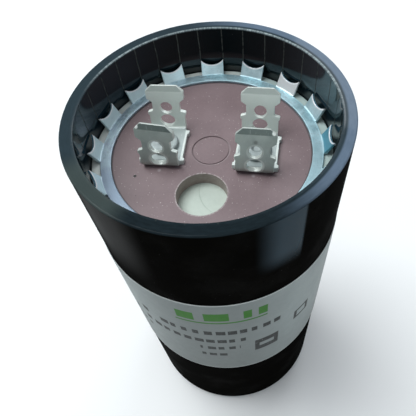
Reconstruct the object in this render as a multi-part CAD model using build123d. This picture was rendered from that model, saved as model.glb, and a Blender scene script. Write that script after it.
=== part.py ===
from build123d import *
import os
from math import cos, radians, sin, tan

# Motor start capacitor: a moulded cup closed by a terminal board, a rubber seal and a push-on ring.
# Millimetres, +Z up, origin at the centre of the base, terminals in a row along X, vent hole towards -Y.

# Case
case_diameter = 45.0
case_height = 90.0
rim_wall = 2.15
bore_wall = 3.3
bore_draft_angle = 0.3
floor_thickness = 2.8
base_edge_round = 2.0
rim_outer_round = 0.3
rim_inner_round = 0.15
bore_floor_round = 1.5
ledge_chamfer = 0.3

# Label
label_bottom = 31.8
label_height = 36.4
label_thickness = 0.12
label_glue_gap = 0.03
label_seam_gap = 1.2

# Terminal board
board_depth = 8.9
board_thickness = 2.4
board_edge_chamfer = 0.2
vent_radius = 4.1
vent_offset = 9.2
stamp_radius = 3.1
stamp_width = 0.22
stamp_depth = 0.12
board_gap = 0.08

# Rubber seal
seal_rim_width = 1.7
seal_web = 1.6
seal_wall_gap = 0.12
seal_rim_round = 0.25
vent_membrane = 0.7
vent_relief_inset = 0.7

# Retaining ring
ring_width = 3.55
ring_thickness = 0.45
ring_bend_radius = 0.4
ring_bend_from_wall = 1.97
ring_root_from_wall = 1.7
tooth_count = 16
tooth_width = 4.15
tooth_angle = 61.0
tooth_scoop_depth = 0.95
ring_turn = 8.0
ring_bite_gap = 0.05

# Terminals
terminal_spacing = 15.6
terminal_line_y = -0.15
sheet = 0.8
heel_span = 8.7
front_lean = 78.0
back_lean = 75.0
sheet_bend_radius = 0.5
tab_tip_height = 8.2
tab_width = 6.35
tab_corner_cut = 1.0
tab_head_length = 2.35
tab_shoulder_run = 0.6
tab_neck_width = 4.65
tab_neck_length = 1.6
tab_ear_width = 6.55
tab_ear_length = 0.45
tab_foot_width = 6.1
tab_bevel_length = 0.95
tab_bevel_depth = 0.24
detent_hole_radius = 1.05
detent_from_tip = 3.95
window_half_width = 1.28
window_half_height = 1.08
window_from_tip = 6.35
plate_width = 6.95
plate_ear_reach = 0.28
plate_ear_length = 0.9
plate_ear_inset = 1.25
plate_heel_relief = 0.85

# Rivets and washers
rivet_radius = 1.6
rivet_hole_gap = 0.05
rivet_head_radius = 2.4
rivet_head_height = 0.75
rivet_dimple_radius = 0.9
rivet_dimple_depth = 0.35
rivet_tail_radius = 2.5
rivet_tail_height = 0.7
washer_radius = 3.6
washer_thickness = 0.8

# Winding, its lead tabs and its pad
pad_thickness = 1.2
pad_wall_gap = 0.4
winding_wall_gap = 0.9
winding_core_radius = 3.0
winding_edge_round = 0.4
winding_headroom = 8.5
tape_thickness = 0.15
tape_width = 18.0
tape_gap = 0.03
lead_width = 5.0
lead_thickness = 0.3
lead_bend_radius = 0.6
lead_winding_radius = 11.5
lead_depth = 12.0
lead_end_reach = 3.4
lead_slot_gap = 0.1

# Heights and radii that follow from the sizes above
case_radius = case_diameter / 2
mouth_radius = case_radius - rim_wall
bore_radius = case_radius - bore_wall
board_top = case_height - board_depth
board_bottom = board_top - board_thickness
seal_bottom = board_bottom - seal_web
seal_radius = mouth_radius - seal_wall_gap
board_radius = seal_radius - seal_rim_width - board_gap
ring_inner_radius = mouth_radius - ring_width
ring_bend_start = mouth_radius - ring_bend_from_wall
ring_root_radius = mouth_radius - ring_root_from_wall
washer_bottom = seal_bottom - washer_thickness
lead_bottom = washer_bottom - lead_thickness
rivet_hole_radius = rivet_radius + rivet_hole_gap
bore_floor_radius = bore_radius - (seal_bottom - floor_thickness) * tan(radians(bore_draft_angle))
pad_radius = bore_floor_radius - bore_floor_round - pad_wall_gap
winding_bottom = floor_thickness + pad_thickness
winding_top = seal_bottom - winding_headroom
winding_radius = bore_floor_radius - winding_wall_gap
terminal_places = {"left": -terminal_spacing / 2, "right": terminal_spacing / 2}
edge_match = 1e-4


def turned(section_face):
    """Solid of revolution about the vertical axis, from a half section in X and Z."""
    return revolve(section_face, Axis.Z)


def half_section(*corners):
    """Half section of a turned piece, as (radius, height) corners."""
    return make_face(Plane.XZ * Polyline(*corners, close=True))


def at_terminals(tool):
    """The same tool at both terminals, as a list to cut with."""
    return [Pos(x, terminal_line_y, 0) * tool for x in terminal_places.values()]


def circle_edges(piece, radius, height):
    """Circular edges of a turned piece at one radius and height."""
    circles = piece.edges().filter_by(GeomType.CIRCLE)
    level = circles.filter_by(lambda edge: abs(edge.center().Z - height) < edge_match)
    return level.filter_by(lambda edge: abs(edge.radius - radius) < edge_match)


def make_case():
    """Cup with a thicker lower wall, whose step carries the seal, and rounded rim and base edges."""
    cup = turned(
        half_section(
            (0, 0),
            (case_radius, 0),
            (case_radius, case_height),
            (mouth_radius, case_height),
            (mouth_radius, seal_bottom),
            (bore_radius, seal_bottom),
            (bore_floor_radius, floor_thickness),
            (0, floor_thickness),
        )
    )
    cup = chamfer(circle_edges(cup, bore_radius, seal_bottom), ledge_chamfer)
    cup = fillet(circle_edges(cup, case_radius, 0), base_edge_round)
    cup = fillet(circle_edges(cup, bore_floor_radius, floor_thickness), bore_floor_round)
    cup = fillet(circle_edges(cup, case_radius, case_height), rim_outer_round)
    return fillet(circle_edges(cup, mouth_radius, case_height), rim_inner_round)


def make_label():
    """Thin wrapped band, open by a narrow butt seam at the back."""
    inner = case_radius + label_glue_gap
    band = Circle(inner + label_thickness) - Circle(inner)
    seam = Pos(0, case_radius) * Rectangle(label_seam_gap, case_radius)
    return Pos(0, 0, label_bottom) * extrude(band - seam, label_height)


def make_terminal_board():
    """Phenolic disc with the vent hole, the rivet holes and a stamped circle."""
    disc = turned(
        half_section(
            (0, board_bottom),
            (board_radius, board_bottom),
            (board_radius, board_top - board_edge_chamfer),
            (board_radius - board_edge_chamfer, board_top),
            (0, board_top),
        )
    )
    vent = Pos(0, -vent_offset, board_bottom) * extrude(Circle(vent_radius), board_thickness)
    rivet_hole = Pos(0, 0, board_bottom) * extrude(Circle(rivet_hole_radius), board_thickness)
    stamp_ring = Circle(stamp_radius + stamp_width / 2) - Circle(stamp_radius - stamp_width / 2)
    stamp = Pos(0, 0, board_top - stamp_depth) * extrude(stamp_ring, stamp_depth)
    return disc - [vent, stamp] - at_terminals(rivet_hole)


def make_rubber_seal():
    """Rubber disc under the board with a rim round it, thinned under the vent hole."""
    rim_inner = seal_radius - seal_rim_width
    body = turned(
        half_section(
            (0, seal_bottom),
            (seal_radius, seal_bottom),
            (seal_radius, board_top),
            (rim_inner, board_top),
            (rim_inner, board_bottom),
            (0, board_bottom),
        )
    )
    body = fillet(circle_edges(body, seal_radius, board_top), seal_rim_round)
    relief_depth = seal_web - vent_membrane
    relief = Pos(0, -vent_offset, seal_bottom) * extrude(Circle(vent_radius - vent_relief_inset), relief_depth)
    rivet_hole = Pos(0, 0, seal_bottom) * extrude(Circle(rivet_hole_radius), seal_web)
    return body - relief - at_terminals(rivet_hole)


def make_retaining_ring():
    """Push-on ring: flat band, bent up into 16 straight-sided teeth with scooped tips."""
    mid_height = board_top + ring_thickness / 2
    rise = radians(tooth_angle)
    tip_radius = mouth_radius - ring_bite_gap - ring_thickness / 2 * sin(rise)
    bend_mid_radius = ring_bend_radius + ring_thickness / 2
    bend_vertex = ring_bend_start + bend_mid_radius * tan(rise / 2)
    tip_height = mid_height + (tip_radius - bend_vertex) * tan(rise)
    path = FilletPolyline(
        (ring_inner_radius, mid_height),
        (bend_vertex, mid_height),
        (tip_radius, tip_height),
        radius=bend_mid_radius,
    )
    blank = turned(Plane.XZ * trace(path, line_width=ring_thickness))

    beyond = mouth_radius + rim_wall
    gaps = Circle(beyond) - Circle(ring_root_radius)
    tooth_strip = Pos(beyond / 2, 0) * Rectangle(beyond, tooth_width)
    gaps -= PolarLocations(0, tooth_count, start_angle=ring_turn) * tooth_strip
    band_height = tip_height - board_top + ring_thickness
    ring = blank - Pos(0, 0, board_top) * extrude(gaps, band_height)

    scoop_radius = ((tooth_width / 2) ** 2 + tooth_scoop_depth**2) / (2 * tooth_scoop_depth)
    centre_out = scoop_radius - tooth_scoop_depth
    scoop_centre = (tip_radius + centre_out * cos(rise), 0, tip_height + centre_out * sin(rise))
    scoop_plane = Plane(origin=scoop_centre, x_dir=(0, 1, 0), z_dir=(-sin(rise), 0, cos(rise)))
    scoop = extrude(scoop_plane * Circle(scoop_radius), ring_thickness * 2, both=True)
    return ring - PolarLocations(0, tooth_count, start_angle=ring_turn) * scoop


def tab_outline(length):
    """Outline of one tab, from its tip at the origin down to its heel at -length along Y."""
    head_end = tab_head_length
    neck_start = head_end + tab_shoulder_run
    neck_end = neck_start + tab_neck_length
    ear_start = neck_end + tab_shoulder_run / 2
    ear_end = ear_start + tab_ear_length
    foot_start = ear_end + tab_ear_length / 2
    half_side = [
        (tab_width / 2 - tab_corner_cut, 0),
        (tab_width / 2, -tab_corner_cut),
        (tab_width / 2, -head_end),
        (tab_neck_width / 2, -neck_start),
        (tab_neck_width / 2, -neck_end),
        (tab_ear_width / 2, -ear_start),
        (tab_ear_width / 2, -ear_end),
        (tab_foot_width / 2, -foot_start),
        (tab_foot_width / 2, -length),
    ]
    other_side = [(-x, y) for x, y in reversed(half_side)]
    outline = make_face(Polyline(*half_side, *other_side, close=True))
    return fillet(outline.vertices().filter_by(lambda v: -foot_start < v.Y < -tab_corner_cut), 0.18)


def tab_plane(heel, lean):
    """Plane of a tab: origin at its tip on the middle of the sheet, X across, Y along it upwards."""
    tip_length = (tab_tip_height - sheet / 2) / sin(radians(lean))
    tip = (0, heel + tip_length * cos(radians(lean)), tab_tip_height)
    normal = (0, -sin(radians(lean)), cos(radians(lean)))
    return Plane(origin=tip, x_dir=(1, 0, 0), z_dir=normal)


def make_terminal():
    """Strip folded into a base plate and two leaning tabs, then cut to outline. Stands on height 0."""
    heel_height = sheet / 2
    front_plane = tab_plane(-heel_span / 2, front_lean)
    back_plane = tab_plane(heel_span / 2, back_lean)
    path = FilletPolyline(
        (front_plane.origin.Y, front_plane.origin.Z),
        (-heel_span / 2, heel_height),
        (heel_span / 2, heel_height),
        (back_plane.origin.Y, back_plane.origin.Z),
        radius=sheet_bend_radius + sheet / 2,
    )
    strip_width = plate_width + 4 * plate_ear_reach
    strip = extrude(Plane.YZ * trace(path, line_width=sheet), strip_width / 2, both=True)

    tab_length = tab_tip_height / sin(radians(back_lean))
    reach = sheet_bend_radius + sheet
    outline_solid = plate_prism()
    for plane in (front_plane, back_plane):
        outline_solid += extrude(plane * tab_outline(tab_length), reach, both=True)
    terminal = strip & outline_solid

    bevel = make_face(
        Polyline(
            (0, sheet / 2 - tab_bevel_depth),
            (0, sheet),
            (-tab_bevel_length, sheet),
            (-tab_bevel_length, sheet / 2),
            close=True,
        )
    )
    window = Ellipse(window_half_width, window_half_height)
    for plane in (front_plane, back_plane):
        side_plane = Plane(origin=plane.origin, x_dir=plane.y_dir, z_dir=plane.x_dir)
        bevel_bar = extrude(side_plane * bevel, tab_width, both=True)
        other_bar = mirror(bevel_bar, about=plane)
        holes = [
            extrude(plane * Pos(0, -detent_from_tip) * Circle(detent_hole_radius), sheet, both=True),
            extrude(plane * Pos(0, -window_from_tip) * window, reach, both=True),
        ]
        terminal = terminal - [bevel_bar, other_bar] - holes
    rivet_hole = extrude(Circle(rivet_hole_radius), sheet)
    return terminal - rivet_hole


def plate_prism():
    """Outline of the base plate, with a small ear each side before each heel, as an upright prism."""
    plate_half = heel_span / 2 - plate_heel_relief
    outline = Rectangle(plate_width, 2 * plate_half)
    outline += Rectangle(tab_foot_width, 2 * plate_half + 4 * plate_heel_relief)
    ear = Rectangle(plate_width + 2 * plate_ear_reach, plate_ear_length)
    ear_place = heel_span / 2 - plate_ear_inset
    outline += [Pos(0, ear_place) * ear, Pos(0, -ear_place) * ear]
    return extrude(outline, sheet + sheet_bend_radius)


def make_rivet():
    """Rivet through base plate, board, seal, washer and lead tab; upset at both ends. Height 0 at the board."""
    head_bottom = sheet
    head_top = head_bottom + rivet_head_height
    tail_top = lead_bottom - board_top
    tail_bottom = tail_top - rivet_tail_height
    return turned(
        half_section(
            (0, tail_bottom),
            (rivet_tail_radius - rivet_tail_height / 2, tail_bottom),
            (rivet_tail_radius, tail_bottom + rivet_tail_height / 2),
            (rivet_tail_radius, tail_top),
            (rivet_radius, tail_top),
            (rivet_radius, head_bottom),
            (rivet_head_radius, head_bottom),
            (rivet_head_radius, head_bottom + rivet_head_height / 2),
            (rivet_head_radius - rivet_head_height / 2, head_top),
            (rivet_dimple_radius, head_top),
            (rivet_dimple_radius - rivet_dimple_depth, head_top - rivet_dimple_depth),
            (0, head_top - rivet_dimple_depth),
        )
    )


def make_washer():
    """Flat washer under the seal."""
    ring = Circle(washer_radius) - Circle(rivet_hole_radius)
    return Pos(0, 0, washer_bottom - board_top) * extrude(ring, washer_thickness)


def lead_path(side):
    """Line of a lead tab in X and Z: flat under the washer, then down into the winding."""
    place = side * terminal_spacing / 2
    middle = lead_bottom + lead_thickness / 2
    drop = side * lead_winding_radius
    return FilletPolyline(
        (place - side * lead_end_reach, middle),
        (drop, middle),
        (drop, winding_top - lead_depth),
        radius=lead_bend_radius,
    )


def make_lead_tab(side):
    """Aluminium strip, bent down from the rivet into the winding."""
    strip = extrude(Plane.XZ * trace(lead_path(side), line_width=lead_thickness), lead_width / 2, both=True)
    hole = Pos(side * terminal_spacing / 2, 0, lead_bottom) * extrude(Circle(rivet_hole_radius), lead_thickness)
    return Pos(0, terminal_line_y, 0) * (strip - hole)


def make_winding():
    """Roll of foil and paper with a hollow core and a slot for each lead tab."""
    height = winding_top - winding_bottom
    roll = Pos(0, 0, winding_bottom) * extrude(Circle(winding_radius) - Circle(winding_core_radius), height)
    ends = circle_edges(roll, winding_radius, winding_bottom) + circle_edges(roll, winding_radius, winding_top)
    roll = fillet(ends, winding_edge_round)
    slot_depth = lead_depth + lead_slot_gap
    slot = Box(lead_thickness + 2 * lead_slot_gap, lead_width + 2 * lead_slot_gap, slot_depth)
    slot_height = winding_top - slot_depth / 2
    places = [Pos(side * lead_winding_radius, terminal_line_y, slot_height) for side in (-1, 1)]
    return roll - [place * slot for place in places]


def make_winding_tape():
    """Closing band round the middle of the roll."""
    inner = winding_radius + tape_gap
    band = Circle(inner + tape_thickness) - Circle(inner)
    middle = (winding_bottom + winding_top) / 2
    return Pos(0, 0, middle - tape_width / 2) * extrude(band, tape_width)


def make_bottom_pad():
    """Insulating disc on the floor of the case."""
    return Pos(0, 0, floor_thickness) * extrude(Circle(pad_radius), pad_thickness)


pieces = {
    "case": make_case(),
    "label": make_label(),
    "retaining_ring": make_retaining_ring(),
    "terminal_board": make_terminal_board(),
    "rubber_seal": make_rubber_seal(),
    "winding": make_winding(),
    "winding_tape": make_winding_tape(),
    "bottom_pad": make_bottom_pad(),
    "lead_tab_left": make_lead_tab(-1),
    "lead_tab_right": make_lead_tab(1),
}
for name, x in terminal_places.items():
    place = Pos(x, terminal_line_y, board_top)
    pieces["terminal_" + name] = place * make_terminal()
    pieces["rivet_" + name] = place * make_rivet()
    pieces["washer_" + name] = place * make_washer()

os.makedirs("parts", exist_ok=True)
for name, piece in pieces.items():
    export_step(piece, os.path.join("parts", name + ".step"))
    print(name, "solids", len(piece.solids()), "volume", round(piece.volume, 1))
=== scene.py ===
# %% [markdown]
# # A motor start capacitor, dressed in Blender
# The object is a black moulded cup, closed by a terminal board, a rubber seal and a bright toothed ring, with two
# folded double tabs on top and a pale label round its middle. The solids come packed from the construction model
# and are the fixed frame. Each cell below remakes or dresses one piece, in the same place and size.

# %% Load the frame
from math import asin, cos, degrees, pi, radians, sin, sqrt, tan
import bmesh
import bpy
from mathutils import Matrix, Vector


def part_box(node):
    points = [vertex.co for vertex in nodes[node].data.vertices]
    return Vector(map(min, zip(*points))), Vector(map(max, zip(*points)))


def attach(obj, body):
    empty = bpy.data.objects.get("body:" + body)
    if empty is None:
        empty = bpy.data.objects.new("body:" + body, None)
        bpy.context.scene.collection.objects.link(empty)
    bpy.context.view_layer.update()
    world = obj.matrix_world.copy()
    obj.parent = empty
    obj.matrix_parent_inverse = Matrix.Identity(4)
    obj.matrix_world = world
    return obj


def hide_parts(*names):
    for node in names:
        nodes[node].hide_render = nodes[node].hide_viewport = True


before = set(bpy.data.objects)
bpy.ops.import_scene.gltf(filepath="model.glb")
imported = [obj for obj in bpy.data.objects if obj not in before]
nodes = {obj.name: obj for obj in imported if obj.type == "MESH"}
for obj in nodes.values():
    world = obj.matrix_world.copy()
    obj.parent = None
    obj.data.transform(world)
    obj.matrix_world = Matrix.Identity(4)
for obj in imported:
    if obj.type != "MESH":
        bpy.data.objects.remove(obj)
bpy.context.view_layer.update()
print("nodes:", ", ".join(sorted(nodes)))

# %% [markdown]
# ## Millimetres
# Small parts are easier to read in millimetres, and Blender's modifiers behave better on numbers near one than on
# numbers near a thousandth. So each piece is made in millimetres, and brought to metres as the last step, when its
# modifiers are turned into a plain mesh.

# %% Sizes shared by several pieces
MM = 0.001
CASE_RADIUS = 22.5
CASE_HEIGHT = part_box("case")[1].z / MM
MOUTH_RADIUS = 20.35
BOARD_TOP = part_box("terminal_board")[1].z / MM
SEAL_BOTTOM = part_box("rubber_seal")[0].z / MM
TERMINAL_PLACES = {"left": -7.8, "right": 7.8}
TERMINAL_LINE_Y = -0.15
print(f"case {CASE_HEIGHT:.2f} mm tall, board top {BOARD_TOP:.2f}, seal from {SEAL_BOTTOM:.2f}")


# %% Helpers that turn a drawing into a finished piece
def new_piece(name, data):
    """An object at the origin, linked into the scene."""
    piece = bpy.data.objects.new(name, data)
    bpy.context.scene.collection.objects.link(piece)
    return piece


def mesh_of(name, shape):
    """A mesh from a bmesh, with its faces turned outwards."""
    bmesh.ops.recalc_face_normals(shape, faces=shape.faces)
    mesh = bpy.data.meshes.new(name)
    shape.to_mesh(mesh)
    shape.free()
    return mesh


def settle(piece):
    """Turns a piece with modifiers, in millimetres, into a plain smooth mesh in metres. Weighted normals keep its
    flat faces flat beside small rounded edges."""
    for face in piece.data.polygons:
        face.use_smooth = True
    piece.modifiers.new("even normals", "WEIGHTED_NORMAL").keep_sharp = True
    bpy.context.view_layer.update()
    graph = bpy.context.evaluated_depsgraph_get()
    mesh = bpy.data.meshes.new_from_object(piece.evaluated_get(graph))
    piece.modifiers.clear()
    mesh.transform(Matrix.Scale(MM, 4))
    piece.data = mesh
    triangles = sum(len(face.vertices) - 2 for face in mesh.polygons)
    print(f"{piece.name}: {triangles} triangles")
    return piece


def wear(piece, finish):
    """Gives a new piece, or a solid of the frame, its finish."""
    piece.data.materials.clear()
    piece.data.materials.append(finish.material)
    print(f"{piece.name} wears {finish.material.name}")


def dress(piece, finish, node):
    """Gives a new piece its finish and its place in the frame, where it stands for one solid."""
    wear(piece, finish)
    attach(piece, "root")
    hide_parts(node)


# %% [markdown]
# ## Camera
# The photograph looks down into the mouth from the front, a little turned and a little tilted. The place, turn and
# lens were found by fitting the edges of rim, board, vent hole, case sides and base. The picture was cropped off its
# middle, so the lens is shifted by as much. A camera looks along its own -Z, so the matrix columns are its right, its
# up and the opposite of its view direction.

# %% Camera
PICTURE_PIXELS, FOCAL_PIXELS = 416, 456.05
CAMERA_PLACE = Vector((13.388, -50.606, 138.423)) * MM
view_turn = radians(-7.459)
forward = Vector((-0.13945, 0.52285, -0.84094)).normalized()
level_right = forward.cross(Vector((0, 0, 1))).normalized()
level_up = level_right.cross(forward)
camera_right = cos(view_turn) * level_right + sin(view_turn) * level_up
camera_up = camera_right.cross(forward)

camera_data = bpy.data.cameras.new("camera")
camera_data.sensor_width = 36
camera_data.lens = FOCAL_PIXELS / PICTURE_PIXELS * camera_data.sensor_width
camera_data.shift_x = -0.0296
camera_data.shift_y = 0.0457
camera_data.clip_start = 0.005
camera = new_piece("camera", camera_data)
view = Matrix((camera_right, camera_up, -forward)).transposed()
camera.matrix_world = Matrix.Translation(CAMERA_PLACE) @ view.to_4x4()
bpy.context.scene.camera = camera
print(f"camera lens {camera_data.lens:.2f} mm")

# %% [markdown]
# ## Floor and light
# The object stands on a plain pale floor. The world is a pale horizon under a darker sky, because bright metal looks
# like metal only when it has something light and something dark to reflect. One large lamp overhead is the main
# light. A second one behind lights the rim, and a third one low in front shows in the polished wall and the teeth.

# %% Floor
FLOOR_RADIUS = 3.0
floor_mesh = bpy.data.meshes.new("floor")
floor_shape = bmesh.new()
bmesh.ops.create_circle(floor_shape, cap_ends=True, segments=96, radius=FLOOR_RADIUS)
floor_shape.to_mesh(floor_mesh)
floor_shape.free()
floor = new_piece("floor", floor_mesh)


# %% Lamps
def window(name, place, size, power, tint):
    """A soft square lamp at a place in metres, turned to the mouth of the case."""
    lamp = bpy.data.lights.new(name, "AREA")
    lamp.size = size
    lamp.energy = power
    lamp.color = tint
    stand = new_piece(name, lamp)
    aim = Vector((0, 0, BOARD_TOP * MM)) - Vector(place)
    stand.matrix_world = Matrix.Translation(place) @ aim.to_track_quat("-Z", "Y").to_matrix().to_4x4()
    stand.visible_camera = False
    print(f"{name}: {power} W over {size} m")


window("window_overhead", (-0.46, 0.16, 1.12), 0.75, 12.0, (0.95, 0.99, 1.0))
window("window_back", (0.3, 1.1, 0.8), 0.6, 3.9, (0.9, 0.96, 1.0))
window("window_low_front", (0.5, -1.22, 0.52), 0.8, 3.0, (0.84, 0.97, 1.0))

# %% World
world = bpy.data.worlds.new("studio")
world.use_nodes = True
bpy.context.scene.world = world
sky_nodes, sky_links = world.node_tree.nodes, world.node_tree.links
direction = sky_nodes.new("ShaderNodeTexCoord")
height = sky_nodes.new("ShaderNodeSeparateXYZ")
sky = sky_nodes.new("ShaderNodeValToRGB")
sky_links.new(direction.outputs["Generated"], height.inputs[0])
sky_links.new(height.outputs["Z"], sky.inputs[0])
sky_links.new(sky.outputs[0], sky_nodes["Background"].inputs["Color"])
horizon, zenith = sky.color_ramp.elements
horizon.position, horizon.color = 0.1, (0.5, 0.52, 0.54, 1)
zenith.position, zenith.color = 0.45, (0.34, 0.36, 0.38, 1)

# %% [markdown]
# ## Shader sums
# A procedural finish is mostly arithmetic on places: how far from the axis, how high, how near a line. Written as
# node calls that is hard to read, so one small class wraps a socket and lets Python's own signs add the Math nodes.
# Colours don't go through it, because a Math node turns a colour grey; they are mixed with Mix nodes.


# %% A socket that can be added and multiplied
class Wire:
    """One output socket in a finish. Arithmetic on it adds Math nodes to the same tree."""

    def __init__(self, finish, socket):
        self.finish = finish
        self.socket = socket

    def sum(self, operation, *values):
        return self.finish.node("ShaderNodeMath", {"operation": operation}, dict(enumerate(values)))

    def __add__(self, other):
        return self.sum("ADD", self, other)

    def __sub__(self, other):
        return self.sum("SUBTRACT", self, other)

    def __rsub__(self, other):
        return self.sum("SUBTRACT", other, self)

    def __mul__(self, other):
        return self.sum("MULTIPLY", self, other)

    def __truediv__(self, other):
        return self.sum("DIVIDE", self, other)

    def __mod__(self, other):
        return self.sum("FLOORED_MODULO", self, other)

    def __abs__(self):
        return self.sum("ABSOLUTE", self)

    def whole(self):
        return self.sum("FLOOR", self)

    def least(self, other):
        return self.sum("MINIMUM", self, other)

    def most(self, *others):
        highest = self
        for other in others:
            highest = self.sum("MAXIMUM", highest, other)
        return highest

    def between(self, low, high):
        """0 at low or less and 1 at high or more, with a soft step; low may be the larger."""
        settings = {"interpolation_type": "SMOOTHSTEP"}
        return self.finish.node("ShaderNodeMapRange", settings, {"Value": self, "From Min": low, "From Max": high})

    def near(self, value, reach, soft):
        """1 within reach of a value, 0 past it by soft or more."""
        return abs(self - value).between(reach + soft, reach)

    __radd__ = __add__
    __rmul__ = __mul__


# %% A finish: one material, its shader and the one method that adds nodes
class Finish:
    """A material with a Principled shader, and methods that build what feeds it."""

    def __init__(self, name, **fixed):
        self.material = bpy.data.materials.new(name)
        self.material.use_nodes = True
        self.tree = self.material.node_tree
        self.shader = self.tree.nodes["Principled BSDF"]
        for socket, value in fixed.items():
            self.shader.inputs[socket.replace("_", " ")].default_value = value

    def node(self, kind, settings=None, values=None, out=0):
        """Adds a node, sets its settings first, then its sockets from numbers or wires. Returns one output."""
        node = self.tree.nodes.new(kind)
        for key, value in (settings or {}).items():
            setattr(node, key, value)
        for key, value in (values or {}).items():
            if isinstance(value, Wire):
                self.tree.links.new(value.socket, node.inputs[key])
            else:
                node.inputs[key].default_value = value
        return Wire(self, node.outputs[out])

    def feed(self, **wires):
        """Links wires to the shader's sockets; Base_Color stands for Base Color."""
        for socket, wire in wires.items():
            self.tree.links.new(wire.socket, self.shader.inputs[socket.replace("_", " ")])

    def place(self):
        """Object coordinates in millimetres: the vector, then X, Y and Z."""
        metres = self.node("ShaderNodeTexCoord", out="Object")
        vector = self.node("ShaderNodeVectorMath", {"operation": "SCALE"}, {0: metres, "Scale": 1 / MM})
        split = [self.node("ShaderNodeSeparateXYZ", {}, {0: vector}, axis) for axis in "XYZ"]
        return vector, *split

    def flat_place(self, uv_map):
        """U and V of a piece's own map, each from 0 to 1."""
        flat = self.node("ShaderNodeUVMap", {"uv_map": uv_map})
        return [self.node("ShaderNodeSeparateXYZ", {}, {0: flat}, axis) for axis in "XY"]

    def mark(self, name):
        """A number that the mesh carries for each face."""
        return self.node("ShaderNodeAttribute", {"attribute_name": name}, out="Fac")

    def vector(self, x, y, z):
        """Three wires or numbers as one vector."""
        return self.node("ShaderNodeCombineXYZ", {}, {"X": x, "Y": y, "Z": z})

    def away(self, x, y):
        """Distance of a place (x, y) from 0, 0."""
        return self.node("ShaderNodeVectorMath", {"operation": "LENGTH"}, {0: self.vector(x, y, 0)}, "Value")

    def bearing(self, x, y):
        """Angle of a place (x, y) about 0, 0, in degrees from X towards Y."""
        return y.sum("ARCTAN2", y, x) * (180 / pi)

    def noise(self, vector, scale, detail=2.0, roughness=0.5):
        """Noise from 0 to 1 at a scale per millimetre."""
        values = {"Vector": vector, "Scale": scale, "Detail": detail, "Roughness": roughness}
        return self.node("ShaderNodeTexNoise", {"noise_dimensions": "3D"}, values)

    def chance(self, vector):
        """An even random number for each different vector."""
        return self.node("ShaderNodeTexWhiteNoise", {"noise_dimensions": "3D"}, {"Vector": vector})

    def specks(self, vector, scale, size, share):
        """Round specks in a grid of cells: size is their radius in cells, share how many cells hold one."""
        settings, values = {"voronoi_dimensions": "3D", "feature": "F1"}, {"Vector": vector, "Scale": scale}
        distance, cell = [self.node("ShaderNodeTexVoronoi", settings, values, out) for out in ("Distance", "Color")]
        drawn = self.node("ShaderNodeSeparateColor", {}, {0: cell}, "Red")
        return distance.between(size, size * 0.5) * drawn.between(share + 0.01, share)

    def mix(self, amount, first, second):
        """Two colours, mixed by a wire from 0 to 1."""
        first, second = [colour if isinstance(colour, Wire) else (*colour, 1) for colour in (first, second)]
        return self.node("ShaderNodeMix", {"data_type": "RGBA"}, {0: amount, 6: first, 7: second}, 2)

    def layers(self, colour, *coats):
        """A first colour with others laid over it in turn, each by its own mask from 0 to 1."""
        for mask, coat in coats:
            colour = self.mix(mask, colour, coat)
        return colour

    def relief(self, height, depth, below=None):
        """A Bump node for a height in millimetres times depth, on top of another one where given."""
        values = {"Height": height, "Distance": depth * MM, "Strength": 1.0}
        if below is not None:
            values["Normal"] = below
        return self.node("ShaderNodeBump", {}, values)

    def grained(self, grain, dark, light, rough, rougher, depth):
        """The finish of a plain stuff, where one grain gives colour, roughness and relief."""
        colour = self.mix(grain, dark, light)
        self.feed(Base_Color=colour, Roughness=rough + grain * rougher, Normal=self.relief(grain, depth))


# %% [markdown]
# ### Floor finish
# The floor is a pale matt board. Its colour alone makes the white ground, and it keeps the object's soft shadow.

# %% Floor finish
paper = Finish("floor_paper", Roughness=0.9, Specular_IOR_Level=0.1)
spot, *_ = paper.place()
paper.feed(Base_Color=paper.mix(paper.noise(spot, 0.004), (0.9, 0.9, 0.9), (0.93, 0.93, 0.93)))
wear(floor, paper)

# %% [markdown]
# ## Turned pieces
# The cup and the rivets are round, so they are made as on a lathe: a profile of corners with a radius each is drawn
# once, and then turned about the axis, one ring of vertices for each of its points. Blender's Screw modifier does
# this too, but its poles need a clean-up, so the rings are joined in code.


# %% Profile and lathe
def rounded_profile(corners, step=12.0):
    """Points of a profile from (radius, height, rounding) corners, with an arc at each rounded corner."""
    points = []
    for index, (x, z, rounding) in enumerate(corners):
        here = Vector((x, z))
        if rounding == 0:
            points.append(here)
            continue
        before = (Vector(corners[index - 1][:2]) - here).normalized()
        after = (Vector(corners[(index + 1) % len(corners)][:2]) - here).normalized()
        corner_angle = before.angle(after)
        reach = rounding / tan(corner_angle / 2)
        centre = here + (before + after).normalized() * rounding / sin(corner_angle / 2)
        start = here + before * reach - centre
        sweep = start.angle_signed(here + after * reach - centre)
        count = max(3, round(abs(degrees(sweep)) / step))
        for part in range(count + 1):
            turn = -sweep * part / count
            arm = (start.x * cos(turn) - start.y * sin(turn), start.x * sin(turn) + start.y * cos(turn))
            points.append(centre + Vector(arm))
    return points


def lathe(name, profile, segments, centre=(0, 0)):
    """Turns a profile about the upright line through centre. Points on the axis become one vertex."""
    shape = bmesh.new()
    turns = [2 * pi * part / segments for part in range(segments)]
    rings = []
    for point in profile:
        if point.x < 1e-6:
            rings.append([shape.verts.new((*centre, point.y))] * segments)
            continue
        places = [(centre[0] + point.x * cos(turn), centre[1] + point.x * sin(turn), point.y) for turn in turns]
        rings.append([shape.verts.new(place) for place in places])
    for low, high in zip(rings, rings[1:]):
        for part in range(segments):
            after = (part + 1) % segments
            corners = list(dict.fromkeys((low[part], low[after], high[after], high[part])))
            if len(corners) > 2:
                shape.faces.new(corners)
    return new_piece(name, mesh_of(name, shape))


# %% [markdown]
# ## Case
# A thermoset cup from a polished mould. Its wall is thinner at the mouth, where a step carries the seal, and its
# rim and foot are rounded. A cylinder with bevels could stand for it, but turning the whole wall section in one go
# gives the rim its two different rounds and keeps wall, step and floor one closed skin.

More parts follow.
